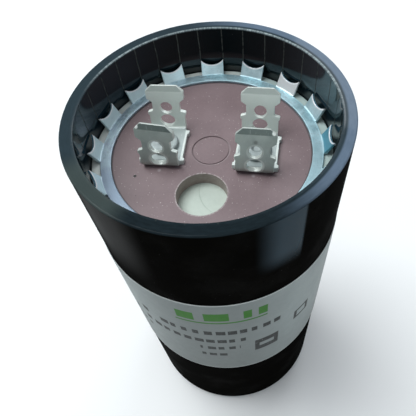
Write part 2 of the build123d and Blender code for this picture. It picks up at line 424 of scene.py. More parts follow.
# %% Case
CASE_FLOOR, FLOOR_CORNER, STEP_RADIUS = 2.8, 18.813, 19.5
case_profile = rounded_profile([
    (0, 0, 0),
    (CASE_RADIUS, 0, 2.0),
    (CASE_RADIUS, CASE_HEIGHT, 0.3),
    (MOUTH_RADIUS, CASE_HEIGHT, 0.15),
    (MOUTH_RADIUS, SEAL_BOTTOM, 0),
    (STEP_RADIUS, SEAL_BOTTOM, 0),
    (STEP_RADIUS - 0.3, SEAL_BOTTOM - 0.3, 0),
    (FLOOR_CORNER, CASE_FLOOR, 1.5),
    (0, CASE_FLOOR, 0),
])
case_cup = settle(lathe("case_cup", case_profile, segments=256))

# %% [markdown]
# ### Case finish
# Glossy black phenolic. What shows it is real is at the mouth: the rim is rubbed satin, its inner edge is a
# row of tiny chips, and each corner of the ring's teeth has drawn a pale line down the wall as the ring was pushed
# in. Painted reflections are laid into the colour too: blue-grey on the rim, a blue-teal tint on the inner wall and a
# blue patch on the front right of the outer wall. All of it depends on the angle and the distance from the axis, so
# it is arithmetic on Object coordinates.

# %% Case finish
TOOTH_PITCH = 22.5
TOOTH_TURN = 8.0
TOOTH_HALF_WIDTH = 4.15 / 2
LINE_MIDDLE, LINE_REACH = 86.7, 3.0
tooth_corner = degrees(asin(TOOTH_HALF_WIDTH / MOUTH_RADIUS))

gloss = Finish("phenolic_gloss", Specular_IOR_Level=0.0, Coat_Roughness=0.06, Coat_IOR=1.6)
spot, x, y, z = gloss.place()
radius = gloss.away(x, y)
angle = gloss.bearing(x, y)
inside = radius.between(MOUTH_RADIUS + 0.5, MOUTH_RADIUS + 0.3)
rim = z.between(CASE_HEIGHT - 0.3, CASE_HEIGHT - 0.1)
wall = 1 - inside
wall_face = wall * (1 - rim)
cloud = gloss.noise(spot, 0.12, 3.0)
dust = gloss.specks(spot, 0.9, 0.07, 0.25)

wander = (gloss.noise(spot, 0.35, 1.0) - 0.5) * 0.9
around = (angle - TOOTH_TURN + TOOTH_PITCH / 2 + wander) % TOOTH_PITCH - TOOTH_PITCH / 2
line = abs(around).near(tooth_corner, 0.12, 0.26) * inside * z.near(LINE_MIDDLE, LINE_REACH, 0.5)
line_strength = gloss.noise(spot, 1.6, 3.0).between(0.2, 0.6)
print(f"scrapes {tooth_corner:.2f} degrees each side of a tooth's middle")

# %% Wear of the rim, and painted reflections on rim and wall
edge = radius.near(MOUTH_RADIUS + 0.18, 0.12, 0.1) * z.between(CASE_HEIGHT - 0.3, CASE_HEIGHT - 0.12)
flash_arc = angle.near(88, 62, 25)
serration = gloss.noise(gloss.vector(radius, angle * 1.6, 0), 1.0, 2.0).between(0.38, 0.66)
chips = edge * flash_arc * (0.35 + serration * 0.65)

outer_band = radius.between(MOUTH_RADIUS + 0.55, MOUTH_RADIUS + 0.95)
rear = y.between(-17, -9)
# Painted reflection: on this arc, right and back, the outer band of the rim is a lighter blue-grey.
worn = angle.near(26, 48, 38)
# A lighter grey patch on the rim at the front left.
rim_lighter_patch = angle.near(-130, 10, 12)
streak = gloss.noise(gloss.vector(radius * 3.0, angle * 0.25, 0), 1.0, 3.0)
# Rubbed rim, partly wear: its blue-grey colour, lighter away from the front, is a painted reflection.
rubbed_rim_and_reflection = rim * (0.2 + rear * 0.55 + streak * 0.4).least(1.0)
# A glossier patch on the front right of the outer wall; its blue colour is a painted reflection.
polish_and_painted_reflection = angle.between(-65, -53) * angle.between(-43.5, -45) * z.between(75.5, 81.0) * wall_face

# %% Case colour
# Painted reflection: the inside of the mouth is tinted blue-teal, lighter towards its left and right sides.
inside_painted_reflection = gloss.mix(abs(x).between(8, 20), (0.0018, 0.0052, 0.0064), (0.005, 0.013, 0.019))
rim_reflection_colour = gloss.mix(streak, (0.09, 0.13, 0.18), (0.135, 0.18, 0.245))
colour = gloss.layers(
    gloss.mix(cloud, (0.0006, 0.0006, 0.0004), (0.0016, 0.0013, 0.0009)),
    (inside, inside_painted_reflection),
    (rubbed_rim_and_reflection, (0.026, 0.042, 0.052)),
    (rim * rim_lighter_patch * 0.7, (0.06, 0.078, 0.074)),
    # Painted reflection on the outer band of the rim.
    (rim * outer_band * worn, rim_reflection_colour),
    (line * line_strength, (0.07, 0.076, 0.07)),
    (chips, (0.32, 0.38, 0.39)),
    (dust * 0.5, (0.09, 0.09, 0.085)),
    (polish_and_painted_reflection, (0.002, 0.018, 0.03)),
)

# %% Case gloss
gripped = angle.near(-121, 5, 13) * z.between(70, 84) * wall
clean = wall_face * y.between(6, 17)
smudge = gloss.noise(spot, 0.09, 4.0, 0.6).between(0.45, 0.75)
wall_coat = 0.012 + smudge * 0.018 + polish_and_painted_reflection * 0.24 + gripped * 0.11 + clean * (0.24 - smudge * 0.1)
inside_coat = inside * (0.12 + abs(x) / 38).most(z.between(86.0, 83.4) * 0.9)
rim_coat = rim * (0.05 + rear * 0.15)
shine = 0.09 + cloud * 0.06 + rim * 0.3
turned = gloss.noise(gloss.vector(radius * 6.0, angle * 0.4, z * 6.0), 1.0, 2.0)
skin = gloss.relief(turned * rim, 0.03, gloss.relief(gloss.noise(spot, 0.5, 2.0), 0.02))
gloss.feed(
    Base_Color=colour,
    Coat_Weight=wall_coat.most(inside_coat, rim_coat) * (1 - line) * (1 - chips),
    Roughness=(shine + line * 0.4 + chips * 0.4).least(0.8),
    Normal=gloss.relief(1 - chips, 0.05, skin),
)
dress(case_cup, gloss, "case")

# %% [markdown]
# ## Label
# One strip of coated film wrapped round the case, with its two ends meeting at the back. It is a bent sheet, so it
# gets a UV map of its own: U runs round the case and V up it, as on the roll that it was printed on.

# %% Label
LABEL_BOTTOM, LABEL_HEIGHT = 31.8, 36.4
LABEL_OUTER, LABEL_INNER = 22.65, 22.53
LABEL_EDGE = 0.03
LABEL_LENGTH = 2 * pi * LABEL_OUTER
LABEL_COLUMNS = 288
half_seam = asin(0.6 / LABEL_OUTER)

wrapping = bmesh.new()
wrap = wrapping.loops.layers.uv.new("wrap")
section = [
    (LABEL_INNER, 0.0), (LABEL_OUTER - LABEL_EDGE, 0.0), (LABEL_OUTER, LABEL_EDGE),
    (LABEL_OUTER, LABEL_HEIGHT - LABEL_EDGE), (LABEL_OUTER - LABEL_EDGE, LABEL_HEIGHT), (LABEL_INNER, LABEL_HEIGHT),
]
label_rows = []
for column in range(LABEL_COLUMNS + 1):
    turn = -pi + half_seam + (2 * pi - 2 * half_seam) * column / LABEL_COLUMNS
    row = [wrapping.verts.new((r * sin(turn), -r * cos(turn), LABEL_BOTTOM + h)) for r, h in section]
    label_rows.append((turn, row))
heights = {vertex: h for _, row in label_rows for vertex, (_, h) in zip(row, section)}
for (turn, row), (next_turn, next_row) in zip(label_rows, label_rows[1:]):
    for part in range(len(row)):
        after = (part + 1) % len(row)
        face = wrapping.faces.new((row[part], next_row[part], next_row[after], row[after]))
        for loop in face.loops:
            across = turn if loop.vert in row else next_turn
            loop[wrap].uv = (0.5 + across / (2 * pi), heights[loop.vert] / LABEL_HEIGHT)
for turn, row in (label_rows[0], label_rows[-1]):
    for loop in wrapping.faces.new(row).loops:
        loop[wrap].uv = (0.5 + turn / (2 * pi), heights[loop.vert] / LABEL_HEIGHT)
label_wrap = settle(new_piece("label_wrap", mesh_of("label_wrap", wrapping)))

# %% [markdown]
# ### Label finish
# Coated film with plain print: four green bars over a green rule, rows of dark dashes and two dark frames. It could
# be an image, but dashes are quicker as sums: a row is a line of cells along U, and random numbers for each cell say
# whether its dash is printed and how long it is.

# %% Label finish
DEGREE = LABEL_LENGTH / 360
RULE = (-12, 31, 28.3, 28.7)
BARS = ((-11, -3), (2, 13), (20, 23.5), (27, 31))
ROWS = (  # height, height of a dash, start and end, pitch
    (23.2, 3.3, -36, 39, 2.3), (18.6, 3.1, -44, 20, 2.3), (14.4, 2.9, -4, 17, 2.2), (10.2, 2.7, -4, 11, 2.2),
    (14.2, 2.0, -50, -30, 1.8),
)
FRAMES = (
    ((25, 38, 10.0, 16.0), (27.5, 35.5, 12.2, 13.8)),
    ((48, 58, 16.5, 20.5), (50, 56, 17.3, 19.7)),
)
film = Finish("label_film", Specular_IOR_Level=0.12)
spot, *_ = film.place()
u, v = film.flat_place("wrap")
along = (u - 0.5) * LABEL_LENGTH
up = v * LABEL_HEIGHT
blur = (film.noise(spot, 4.0, 2.0) - 0.5) * 0.12


def printed_row(height, tall, start, end, pitch):
    """A row of plain dark dashes at a height on the label, from start to end in degrees round the case."""
    start, end = start * DEGREE, end * DEGREE
    cell = (along / pitch).whole()
    drawn = film.chance(film.vector(cell, height, 0)).between(0.1, 0.11)
    dash_length = film.chance(film.vector(cell, height, 1)) * 0.35 + 0.45
    dash = ((along / pitch) % 1.0).between(dash_length + 0.05, dash_length)
    row_band = (up + blur).near(height, tall * 0.27, 0.12)
    return dash * drawn * row_band * along.near((start + end) / 2, (end - start) / 2, 0.1)


def box_figure(left, right, low, high):
    """A plain filled rectangle, its sides in degrees round the case and its ends in millimetres up the label."""
    left, right = left * DEGREE, right * DEGREE
    wide = (along + blur).near((left + right) / 2, (right - left) / 2, 0.15)
    return wide * (up + blur).near((low + high) / 2, (high - low) / 2, 0.15)


green = box_figure(*RULE).most(*[box_figure(*sides, 29.6, 32.8) for sides in BARS])
rows = [printed_row(*row) for row in ROWS]
boxes = [box_figure(*outer) * (1 - box_figure(*inner)) for outer, inner in FRAMES]
ink = rows[0].most(*rows[1:], *boxes) * film.noise(spot, 3.0, 3.0).between(0.22, 0.42)
# Painted highlight: a lighter line along the top and bottom edges of the label.
edge_highlight = up.between(0.35, 0.1).most(up.between(LABEL_HEIGHT - 0.35, LABEL_HEIGHT - 0.1))

colour = film.layers(
    film.mix(film.noise(spot, 0.25, 4.0), (0.232, 0.264, 0.264), (0.296, 0.33, 0.324)),
    # Painted shade: the label gets darker towards its bottom.
    (up.between(20.0, 2.0) * 0.35, (0.13, 0.142, 0.138)),
    # Painted shade: the label is darker at the middle of its front.
    (along.near(2.0, 4.0, 15.0) * 0.58, (0.095, 0.105, 0.102)),
    (edge_highlight, (0.48, 0.51, 0.5)),
    (green, (0.022, 0.13, 0.005)),
    (ink, (0.014, 0.016, 0.016)),
)
film.feed(
    Base_Color=colour,
    Roughness=0.42 + film.noise(spot, 0.8, 2.0) * 0.18,
    Normal=film.relief(film.noise(spot, 0.35, 2.0), 0.03, film.relief(film.noise(spot, 9.0), 0.004)),
)
dress(label_wrap, film, "label")

# %% [markdown]
# ## Retaining ring
# A push-on ring is stamped from spring steel: a flat band, bent up into sixteen teeth whose hollow tips bite the
# wall with two corners each. Every tooth is the same, so one sector of the ring is drawn as a sheet, and a Geometry
# Nodes tree turns it into the ring. Drawing the sheet along its own line, flat, bend and slope, keeps the grid of
# faces in step with the bend.

# %% Ring sizes, and the line of its sheet
RING_INNER, BEND_START, GAP_RADIUS = 16.8, 18.38, 18.65
RING_SHEET = 0.45
BEND_MIDDLE = 0.4 + RING_SHEET / 2
TOOTH_RISE = radians(61)
SCOOP_DEPTH = 0.95
TIP_RADIUS = MOUTH_RADIUS - 0.05 - RING_SHEET / 2 * sin(TOOTH_RISE)
BEND_END = BEND_START + BEND_MIDDLE * sin(TOOTH_RISE)
FLAT_RUN = BEND_START - RING_INNER
BEND_RUN = BEND_MIDDLE * TOOTH_RISE
TOOTH_RUN = FLAT_RUN + BEND_RUN + (TIP_RADIUS - BEND_END) / cos(TOOTH_RISE)
GAP_RUN = FLAT_RUN + BEND_MIDDLE * asin((GAP_RADIUS - BEND_START) / BEND_MIDDLE)
scoop_radius = (TOOTH_HALF_WIDTH**2 + SCOOP_DEPTH**2) / (2 * SCOOP_DEPTH)


def sheet_line(run):
    """Radius and height of the middle of the sheet, at a run along it from the inner edge."""
    height = BOARD_TOP + RING_SHEET / 2
    if run <= FLAT_RUN:
        return RING_INNER + run, height
    bend = min((run - FLAT_RUN) / BEND_MIDDLE, TOOTH_RISE)
    rest = max(0.0, run - FLAT_RUN - BEND_RUN)
    out = BEND_START + BEND_MIDDLE * sin(bend) + rest * cos(TOOTH_RISE)
    return out, height + BEND_MIDDLE * (1 - cos(bend)) + rest * sin(TOOTH_RISE)


def tooth_end(side):
    """Run of the hollow tip, at a distance from the middle of the tooth."""
    return TOOTH_RUN + scoop_radius - SCOOP_DEPTH - sqrt(scoop_radius**2 - side**2)


# %% One sector of the ring, as a sheet
TOOTH_STEPS, LIP_STEPS = 16, 3
sector = bmesh.new()
tip_mark = sector.faces.layers.float.new("lip")
band_rows = [FLAT_RUN * part / 6 for part in range(7)] + [(FLAT_RUN + GAP_RUN) / 2, GAP_RUN]
tooth_sides = [TOOTH_HALF_WIDTH * part / 7 for part in range(-7, 8)]
tooth_angles = [asin(side / GAP_RADIUS) for side in tooth_sides]
half_pitch = radians(TOOTH_PITCH / 2)
left_gap = [-half_pitch + (tooth_angles[0] + half_pitch) * part / 4 for part in range(4)]
columns = left_gap + tooth_angles + [-turn for turn in reversed(left_gap)]
grid = {}
for row, run in enumerate(band_rows):
    r, h = sheet_line(run)
    for column, turn in enumerate(columns):
        grid[row, column] = sector.verts.new((r * cos(turn), r * sin(turn), h))
for step in range(1, TOOTH_STEPS + 1):
    row = len(band_rows) - 1 + step
    for column, side in enumerate(tooth_sides, len(left_gap)):
        r, h = sheet_line(GAP_RUN + (tooth_end(side) - GAP_RUN) * step / TOOTH_STEPS)
        turn = asin(side / r)
        grid[row, column] = sector.verts.new((r * cos(turn), r * sin(turn), h))
for (row, column), corner in grid.items():
    others = [grid.get(key) for key in ((row, column + 1), (row + 1, column + 1), (row + 1, column))]
    if all(others):
        face = sector.faces.new((corner, *others))
        face[tip_mark] = float(row + LIP_STEPS >= len(band_rows) + TOOTH_STEPS)
sector_mesh = mesh_of("push_on_ring", sector)
print(f"one sector: {len(sector_mesh.polygons)} faces, tooth run {TOOTH_RUN - GAP_RUN:.2f} mm")

# %% [markdown]
# ### The tree that repeats it
# Points carry the copies, and the index of each point times the pitch is its turn. Merge by Distance joins the
# neighbours' shared edges, so that Solidify and Bevel see one closed band and not sixteen loose pieces.


# %% Ring tree
def ring_tree():
    """Geometry Nodes tree: Count copies of the incoming sheet about Z, joined into one."""
    tree = bpy.data.node_groups.new("copies about the axis", "GeometryNodeTree")
    face = tree.interface
    face.new_socket("Sheet", in_out="INPUT", socket_type="NodeSocketGeometry")
    kinds = {"Count": "Int", "First turn": "Float", "Join distance": "Float", "Finish": "Material"}
    sockets = {
        name: face.new_socket(name, in_out="INPUT", socket_type=f"NodeSocket{kind}").identifier
        for name, kind in kinds.items()
    }
    face.new_socket("Ring", in_out="OUTPUT", socket_type="NodeSocketGeometry")

    def add(kind, inputs, **settings):
        node = tree.nodes.new(kind)
        for key, value in settings.items():
            setattr(node, key, value)
        for target, source in inputs.items():
            if isinstance(source, bpy.types.NodeSocket):
                tree.links.new(source, node.inputs[target])
            else:
                node.inputs[target].default_value = source
        return node.outputs[0]

    given = tree.nodes.new("NodeGroupInput").outputs
    index = add("GeometryNodeInputIndex", {})
    pitch = add("ShaderNodeMath", {0: 2 * pi, 1: given["Count"]}, operation="DIVIDE")
    turned = add("ShaderNodeMath", {0: index, 1: pitch}, operation="MULTIPLY")
    total = add("ShaderNodeMath", {0: turned, 1: given["First turn"]}, operation="ADD")
    rotation = add("ShaderNodeCombineXYZ", {"Z": total})
    points = add("GeometryNodePoints", {"Count": given["Count"]})
    copies = add("GeometryNodeInstanceOnPoints", {"Points": points, "Instance": given["Sheet"], "Rotation": rotation})
    real = add("GeometryNodeRealizeInstances", {"Geometry": copies})
    whole = add("GeometryNodeMergeByDistance", {"Geometry": real, "Distance": given["Join distance"]})
    dressed = add("GeometryNodeSetMaterial", {"Geometry": whole, "Material": given["Finish"]})
    tree.links.new(dressed, tree.nodes.new("NodeGroupOutput").inputs[0])
    return tree, sockets


# %% [markdown]
# ### Ring finish
# Bright zinc over rolled steel. The rolling left fine lines round the band and across the teeth, and the plating
# has cloudy patches. The lines are noise stretched along the angle, which is the same on every tooth. Painted
# reflections, painted light and shade, and painted highlights are laid over this colour as well.

# %% Ring finish
zinc = Finish("bright_zinc")
spot, x, y, z = zinc.place()
radius = zinc.away(x, y)
angle = zinc.bearing(x, y)
rolled = zinc.noise(zinc.vector(radius * 9.0, z * 9.0, angle * radians(5.0)), 1.0, 3.0)
cloud = zinc.noise(spot, 0.55, 4.0, 0.6)
spangle = zinc.noise(spot, 2.2, 3.0)
# Painted reflection: the metal is tinted lavender blue on the front left and cyan on the right back.
painted_tint_side = (x + y * 0.6).between(-14.0, 14.0)
band = z.between(BOARD_TOP + 0.6, BOARD_TOP + 0.46)
tooth = 1 - band
stained_arcs = angle.near(150, 13, 9) + angle.near(80, 20, 12) + angle.near(28, 8, 8)
stained = stained_arcs * radius.near(17.9, 0.45, 0.3) * band
# Painted reflection: one tooth on the right is a deep blue.
blue_reflection_tooth = angle.near(TOOTH_TURN, 6, 1) * tooth
# Painted highlight: one tooth at the back right is near white.
glint_tooth = angle.near(TOOTH_TURN + 2 * TOOTH_PITCH, 6, 1) * tooth
cut, lip = zinc.mark("cut"), zinc.mark("lip")
metal = zinc.layers(
    zinc.mix(painted_tint_side, (0.5, 0.62, 0.74), (0.36, 0.56, 0.62)),
    (cloud.between(0.35, 0.65) * (1 - painted_tint_side * band * 0.6), (0.68, 0.86, 0.93)),
    (spangle.between(0.5, 0.72) * 0.5, (0.31, 0.4, 0.45)),
    (rolled.between(0.5, 0.68) * (1 - painted_tint_side * band * 0.7) * 0.55, (0.84, 0.97, 1.0)),
    (stained * spangle.between(0.3, 0.55) * 0.36, (0.12, 0.24, 0.29)),
    # Painted light: the teeth are lighter than the band, most of all on the left.
    (tooth * (0.35 + x.between(-3, -12) * 0.4), (0.78, 0.97, 1.0)),
    # Painted shade: a darker patch of the band at the right front.
    (angle.near(-8, 10, 12) * band * 0.5, (0.3, 0.42, 0.46)),
    (blue_reflection_tooth * 0.85, (0.06, 0.32, 0.44)),
    (glint_tooth * 0.9, (1.0, 1.0, 1.0)),
    # Painted shade: the band is darker at the front left.
    (y.between(2, -9) * x.between(-3, -10) * band * 0.9, (0.15, 0.19, 0.25)),
    # Painted reflection: the cut ends of the teeth are blue.
    (cut, (0.1, 0.27, 0.38)),
    # Painted highlight: a white line along the tips of the teeth.
    (lip * (1 - cut) * 0.9, (0.95, 0.98, 1.0)),
)
zinc.feed(
    Base_Color=metal,
    Metallic=0.85 - cut.most(lip, tooth * 0.5) * 0.6,
    Roughness=0.26 + cloud * 0.14 + rolled * 0.14 + painted_tint_side * band * 0.12,
    Normal=zinc.relief(rolled, 0.012, zinc.relief(spangle, 0.012)),
)

# %% Ring
ring = new_piece("push_on_ring", sector_mesh)
tree, sockets = ring_tree()
copies = ring.modifiers.new("copies", "NODES")
copies.node_group = tree
copies[sockets["Count"]] = round(360 / TOOTH_PITCH)
copies[sockets["First turn"]] = radians(TOOTH_TURN)
copies[sockets["Join distance"]] = 0.01
copies[sockets["Finish"]] = zinc.material
sheet = ring.modifiers.new("sheet", "SOLIDIFY")
sheet.thickness = RING_SHEET
sheet.offset = 0
sheet.use_even_offset = True
burr = ring.modifiers.new("worn edges", "BEVEL")
burr.width = 0.07
burr.segments = 2
burr.limit_method = "ANGLE"
burr.angle_limit = radians(50)
settle(ring)

# %% Cut ends of the teeth
cut_layer = ring.data.attributes.new("cut", "FLOAT", "FACE")
for face in ring.data.polygons:
    face.use_smooth = True
    out = Vector((face.center.x, face.center.y, 0)).normalized()
    up_tooth = face.normal.dot(out * cos(TOOTH_RISE) + Vector((0, 0, sin(TOOTH_RISE))))
    inward = face.normal.dot(out * -sin(TOOTH_RISE) + Vector((0, 0, cos(TOOTH_RISE))))
    on_tooth = face.center.z / MM > BOARD_TOP + 1.2
    cut_layer.data[face.index].value = float(on_tooth and up_tooth > 0.5 and abs(inward) < 0.2)
dress(ring, zinc, "retaining_ring")

# %% [markdown]
# ## Terminals
# Each terminal is one strip of tinned metal: punched flat, coined to an edge at both tips, then folded up into a
# front and a back tab. It is made here in the same order. The blank is a flat curve with holes, which Blender
# fills, thickens and rounds by itself; it is then cut across at each fold and wrapped round the folded line.

# %% Blank of a terminal
STRIP = 0.8
STRIP_SPAN = 28.0
HEEL = 8.7 / 2
FOLD_RADIUS = 0.5 + STRIP / 2
TAB_TIP = 8.2
FOLDS = {-1: radians(180 - 78), 1: radians(75)}
FOLD_STEPS = 12
COINED_RUN, COINED_TIP = 0.95, 0.32
RIVET_HOLE, DETENT_RADIUS = 1.65, 1.05
WINDOW_WIDE, WINDOW_LONG = 1.28, 1.08
DETENT_FROM_TIP, WINDOW_FROM_TIP = 3.95, 6.35


def fold_sizes(side):
    """Where the fold starts and ends along the strip, and where the tip is, from the middle of the plate."""
    turn = FOLDS[side]
    start = HEEL - FOLD_RADIUS * tan(turn / 2)
    end = start + FOLD_RADIUS * turn
    straight = (TAB_TIP - STRIP / 2) / sin(turn) - FOLD_RADIUS * tan(turn / 2)
    return start, end, end + straight, turn


# %% Outline and holes of the blank
def half_outline(side):
    """Outline of one half of the blank: (along, half width), from the plate to the tip."""
    tip = fold_sizes(side)[2]
    return [
        (2.65, 3.475), (2.72, 3.755), (3.48, 3.755), (3.55, 3.05),
        (tip - 5.53, 3.05), (tip - 5.3, 3.275), (tip - 4.85, 3.275), (tip - 4.55, 2.325),
        (tip - 2.95, 2.325), (tip - 2.35, 3.175), (tip - 1.0, 3.175), (tip - 0.25, 2.36), (tip, 2.1),
    ]


def soften(points, share=0.3, most=0.16):
    """Cuts each corner of a closed outline by a short curve, as a worn punch does."""
    soft = []
    for index, here in enumerate(points):
        here = Vector(here)
        before = Vector(points[index - 1]) - here
        after = Vector(points[(index + 1) % len(points)]) - here
        start = here + before.normalized() * min(most, before.length * share)
        end = here + after.normalized() * min(most, after.length * share)
        for t in (0.0, 0.33, 0.67, 1.0):
            soft.append(start * (1 - t) ** 2 + here * 2 * t * (1 - t) + end * t**2)
    return soft


def oval(middle, half_wide, half_long, count=40):
    """Hole outline round a place on the strip's middle line."""
    turns = [2 * pi * part / count for part in range(count)]
    return [Vector((half_wide * cos(turn), middle + half_long * sin(turn))) for turn in turns]


front, back = half_outline(-1), half_outline(1)
right_edge = [(w, -a) for a, w in reversed(front)] + [(w, a) for a, w in back]
blank_outline = soften(right_edge + [(-w, a) for w, a in reversed(right_edge)])
holes = [oval(0, RIVET_HOLE, RIVET_HOLE)]
for side in (-1, 1):
    tip = fold_sizes(side)[2]
    holes.append(oval(side * (tip - DETENT_FROM_TIP), DETENT_RADIUS, DETENT_RADIUS))
    holes.append(oval(side * (tip - WINDOW_FROM_TIP), WINDOW_WIDE, WINDOW_LONG))
print(f"blank: {len(blank_outline)} points round it, {len(holes)} holes")


# %% Punch the blank
def punched_blank(name, soft_edge=0.09):
    """The punched strip, flat, with rounded edges, cut across wherever it will bend."""
    curve = bpy.data.curves.new(name, "CURVE")
    curve.dimensions = "2D"
    curve.fill_mode = "BOTH"
    curve.extrude = STRIP / 2 - soft_edge
    curve.bevel_depth = soft_edge
    curve.bevel_resolution = 1
    curve.offset = -soft_edge
    for outline in (blank_outline, *holes):
        spline = curve.splines.new("POLY")
        spline.points.add(len(outline) - 1)
        for point, place in zip(spline.points, outline):
            point.co = (*place, 0, 1)
        spline.use_cyclic_u = True
    drawing = new_piece(name, curve)
    mesh = bpy.data.meshes.new_from_object(drawing.evaluated_get(bpy.context.evaluated_depsgraph_get()))
    shape = bmesh.new()
    shape.from_mesh(mesh)
    bpy.data.objects.remove(drawing)
    bpy.data.meshes.remove(mesh)
    bmesh.ops.remove_doubles(shape, verts=shape.verts, dist=0.002)
    cuts = []
    for side in (-1, 1):
        start, end, tip, _ = fold_sizes(side)
        cuts += [side * (start + (end - start) * part / FOLD_STEPS) for part in range(FOLD_STEPS + 1)]
        cuts += [side * (end + (tip - end) * part / FOLD_STEPS) for part in range(1, FOLD_STEPS)]
        cuts.append(side * (tip - COINED_RUN))
    for cut in cuts:
        parts = shape.verts[:] + shape.edges[:] + shape.faces[:]
        bmesh.ops.bisect_plane(shape, geom=parts, dist=0.003, plane_co=(0, cut, 0), plane_no=(0, 1, 0))
    shape.normal_update()
    strip_map = shape.loops.layers.uv.new("strip")
    edge_mark = shape.faces.layers.float.new("edge")
    for face in shape.faces:
        face[edge_mark] = float(abs(face.normal.z) < 0.9)
        for loop in face.loops:
            loop[strip_map].uv = (0.5 + loop.vert.co.x / STRIP_SPAN, 0.5 + loop.vert.co.y / STRIP_SPAN)
    return shape


# %% Fold the blank
def folded(place, turned, front_bend, back_bend):
    """Where a point (across, along, through) of the flat blank goes. The strip may sit turned on its rivet, and each
    tab be bent a little by use: twisted about its own length, swayed along X and leant further over."""
    across, along, through = place
    side = -1 if along < 0 else 1
    twist, sway, lean = front_bend if side < 0 else back_bend
    start, end, tip, turn = fold_sizes(side)
    run = abs(along)
    to_tip = tip - run
    if to_tip < COINED_RUN:
        through *= (COINED_TIP + (STRIP - COINED_TIP) * max(0.0, to_tip) / COINED_RUN) / STRIP
    if run <= start:
        return Matrix.Rotation(turned, 3, "Z") @ Vector((across, along, STRIP / 2 + through))
    bend = min((run - start) / FOLD_RADIUS, turn)
    out = start + FOLD_RADIUS * sin(bend)
    height = STRIP / 2 + FOLD_RADIUS * (1 - cos(bend))
    rest = max(0.0, run - end)
    if rest > 0:
        up_the_tab = rest / (tip - end)
        angle = twist * up_the_tab**1.3
        across, through = across * cos(angle) - through * sin(angle), across * sin(angle) + through * cos(angle)
        across += sway * up_the_tab
        out += rest * cos(turn + lean)
        height += rest * sin(turn + lean)
        bend += lean * min(1.0, rest / 0.5)
    place = Vector((across, side * (out - through * sin(bend)), height + through * cos(bend)))
    return Matrix.Rotation(turned, 3, "Z") @ place


def terminal(name, centre_x, askew):
    """Folds a blank and stands it on the board."""
    shape = punched_blank(name)
    for vertex in shape.verts:
        vertex.co = folded(vertex.co, *askew) + Vector((centre_x, TERMINAL_LINE_Y, BOARD_TOP))
    return settle(new_piece(name, mesh_of(name, shape)))


# %% [markdown]
# ### Tin finish
# Dull hot tin: a soft mirror with cloudy greenish grey, faint scratches along the strip, and on the lower front tabs
# a painted brown reflection of the board. It follows the strip and not the room, so it reads a UV map on which the
# blank still lies flat: how far across, how far along, and from there how far to the tip. The front tabs are darkened
# by painted shade and the back tabs lightened by painted light, and edges, ears, the rims of the holes and one tip
# corner of each front tab carry painted highlights.

# %% Tin finish
tin = Finish("dull_tin", Metallic=0.55)
spot, x, *_ = tin.place()
across, along = [(wire - 0.5) * STRIP_SPAN for wire in tin.flat_place("strip")]
is_back = along.between(-0.01, 0.01)
is_front = 1 - is_back
is_right = x.between(-0.5, 0.5)
front_run, back_run = fold_sizes(-1)[2], fold_sizes(1)[2]
to_tip = is_back * (back_run - front_run) + front_run - abs(along)
edge = tin.mark("edge")
cloud = tin.noise(spot, 0.45, 4.0, 0.6)
grain = tin.noise(spot, 3.5, 3.0)
scratch = tin.noise(tin.vector(across * 5.0, along * 0.6, 0), 1.0, 4.0).between(0.62, 0.78)
blotch = tin.noise(spot, 0.3, 3.0).between(0.42, 0.66)
plate = abs(along).between(4.4, 3.9)
coined = to_tip.between(1.02, 0.88)
# Painted reflection: the lower part of each front tab takes the brown of the board.
board_reflection_low = to_tip.between(3.0, 8.0) * is_front * (1 - plate)
detent_rim = tin.away(across, to_tip - DETENT_FROM_TIP).near(1.2, 0.1, 0.12)
window_rim = tin.away(across / WINDOW_WIDE, (to_tip - WINDOW_FROM_TIP) / WINDOW_LONG).near(1.14, 0.08, 0.1)
ears = abs(across).between(3.0, 3.2) * (1 - to_tip.between(3.2, 2.6))
# Painted highlight: a glint at one top corner of each front tab.
tip_glint = tin.away(across - (is_right * 2.0 - 1.0) * 2.7, to_tip - 0.55).between(0.45, 0.25) * is_front
# Painted shade: a dark spot for a small dent on the right front tab.
dent_shade = tin.away(across, to_tip - 2.2).between(0.45, 0.15) * is_front * is_right
metal = tin.layers(
    tin.mix(cloud, (0.5, 0.56, 0.51), (0.72, 0.78, 0.72)),
    # Dark blotches on the front tabs, over an even painted shade that darkens each front tab.
    ((0.25 + blotch * 0.4) * is_front, (0.32, 0.38, 0.36)),
    # Painted light: the back tabs, above the plate, are made much lighter.
    (is_back * (1 - plate) * 0.8, (0.94, 1.0, 0.94)),
    (plate * 0.75, (0.3, 0.34, 0.35)),
    (board_reflection_low * 0.3, (0.3, 0.29, 0.26)),
    (coined * (0.9 - is_back * 0.35), (0.12, 0.155, 0.145)),
    (scratch * 0.4, (0.86, 0.88, 0.84)),
    # Painted highlight round the holes.
    (detent_rim.most(window_rim) * 0.45, (0.9, 0.94, 0.88)),
    (dent_shade * 0.6, (0.2, 0.21, 0.19)),
    # Painted highlights on the edges, the ears and the tip corners.
    ((edge * 0.5).most(ears * 0.5, tip_glint), (0.95, 1.0, 0.95)),
)
tin.feed(
    Base_Color=metal,
    Roughness=0.4 + cloud * 0.12 + grain * 0.08 - scratch * 0.08,
    Normal=tin.relief(grain, 0.012, tin.relief(cloud, 0.05)),
)

# %% Terminals
ASKEW = {
    "left": (radians(2.3), (radians(-9), -0.22, 0.0), (0.0, 0.0, radians(4.0))),
    "right": (0.0, (0.0, 0.2, radians(5.0)), (0.0, -0.1, radians(-1.5))),
}
for side, centre_x in TERMINAL_PLACES.items():
    dress(terminal(f"tabs_{side}", centre_x, ASKEW[side]), tin, f"terminal_{side}")

# %% [markdown]
# ## Rivets
# A tubular rivet holds each terminal. Its head is rolled over a plate and ends in a dimple, which shows through the
# hole of the front tab. It is turned like the cup, with a rounded crown.

